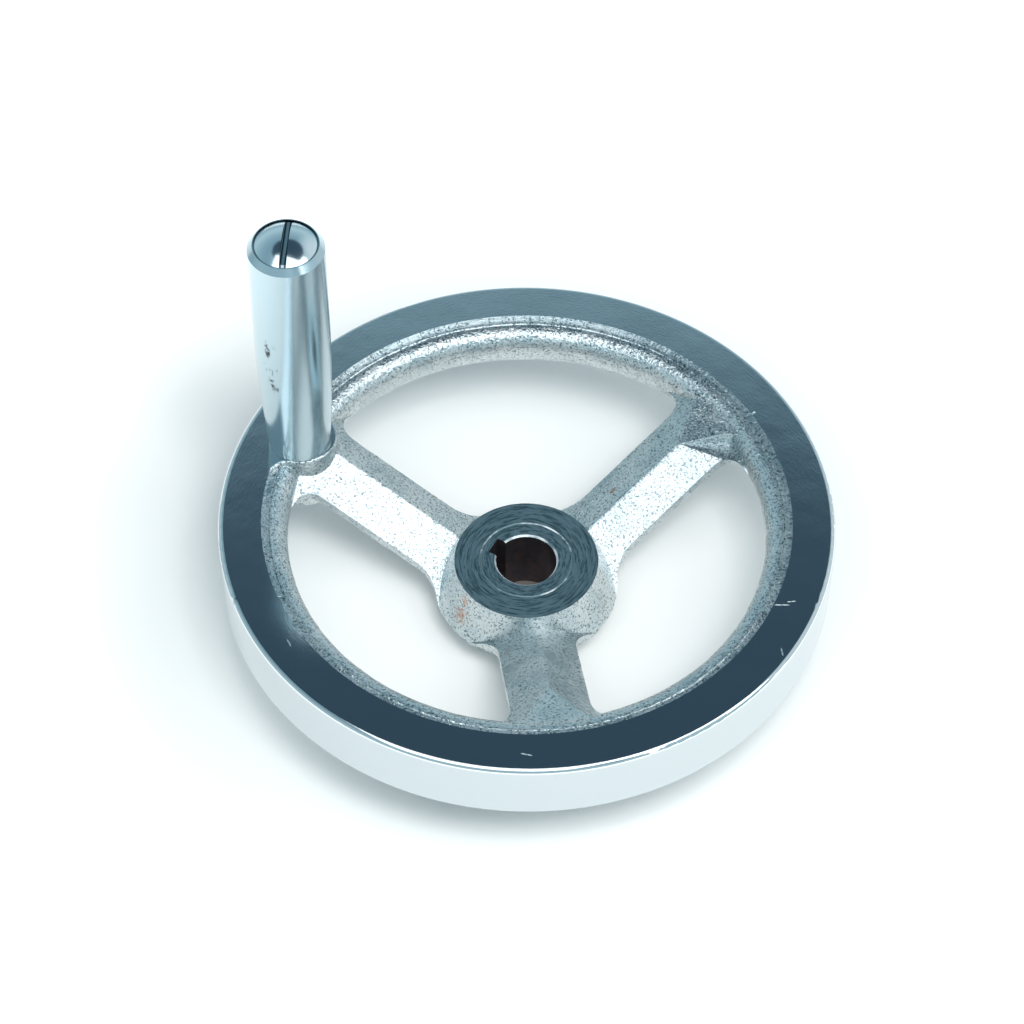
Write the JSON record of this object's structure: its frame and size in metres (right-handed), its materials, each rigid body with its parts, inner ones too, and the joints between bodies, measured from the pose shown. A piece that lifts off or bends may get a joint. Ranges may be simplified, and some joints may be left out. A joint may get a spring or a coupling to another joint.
{
  "type": "machine handwheel",
  "caption": "Dished spoked machine handwheel with a keyed hub bore and a revolving cylindrical handle on its rim.",
  "frame": {"origin": "centre of the hub's back face, on the axis of the bore, which is also the middle of the footprint", "axes": "+Z along the bore towards the handle's side, +X along the spoke that carries the handle"},
  "size_m": [0.16, 0.16, 0.1167],
  "materials": {
    "plated_cast_iron": "bright plated grey iron: mirror polished rim, turned hub face, sparkling as-cast spokes",
    "turned_steel": "polished slotted head",
    "polished_steel": "lengthwise polished sleeve"
  },
  "bodies": {
    "wheel": {"wheel_casting": "plated_cast_iron", "handle_spindle": "turned_steel"},
    "grip": {"handle_sleeve": "polished_steel"}
  },
  "joints": [
    {"name": "grip_spin", "type": "hinge", "parent": "wheel", "child": "grip", "pos_m": [0.0648, 0.0014, 0.077], "axis": [0, 0, 1], "continuous": true}
  ]
}
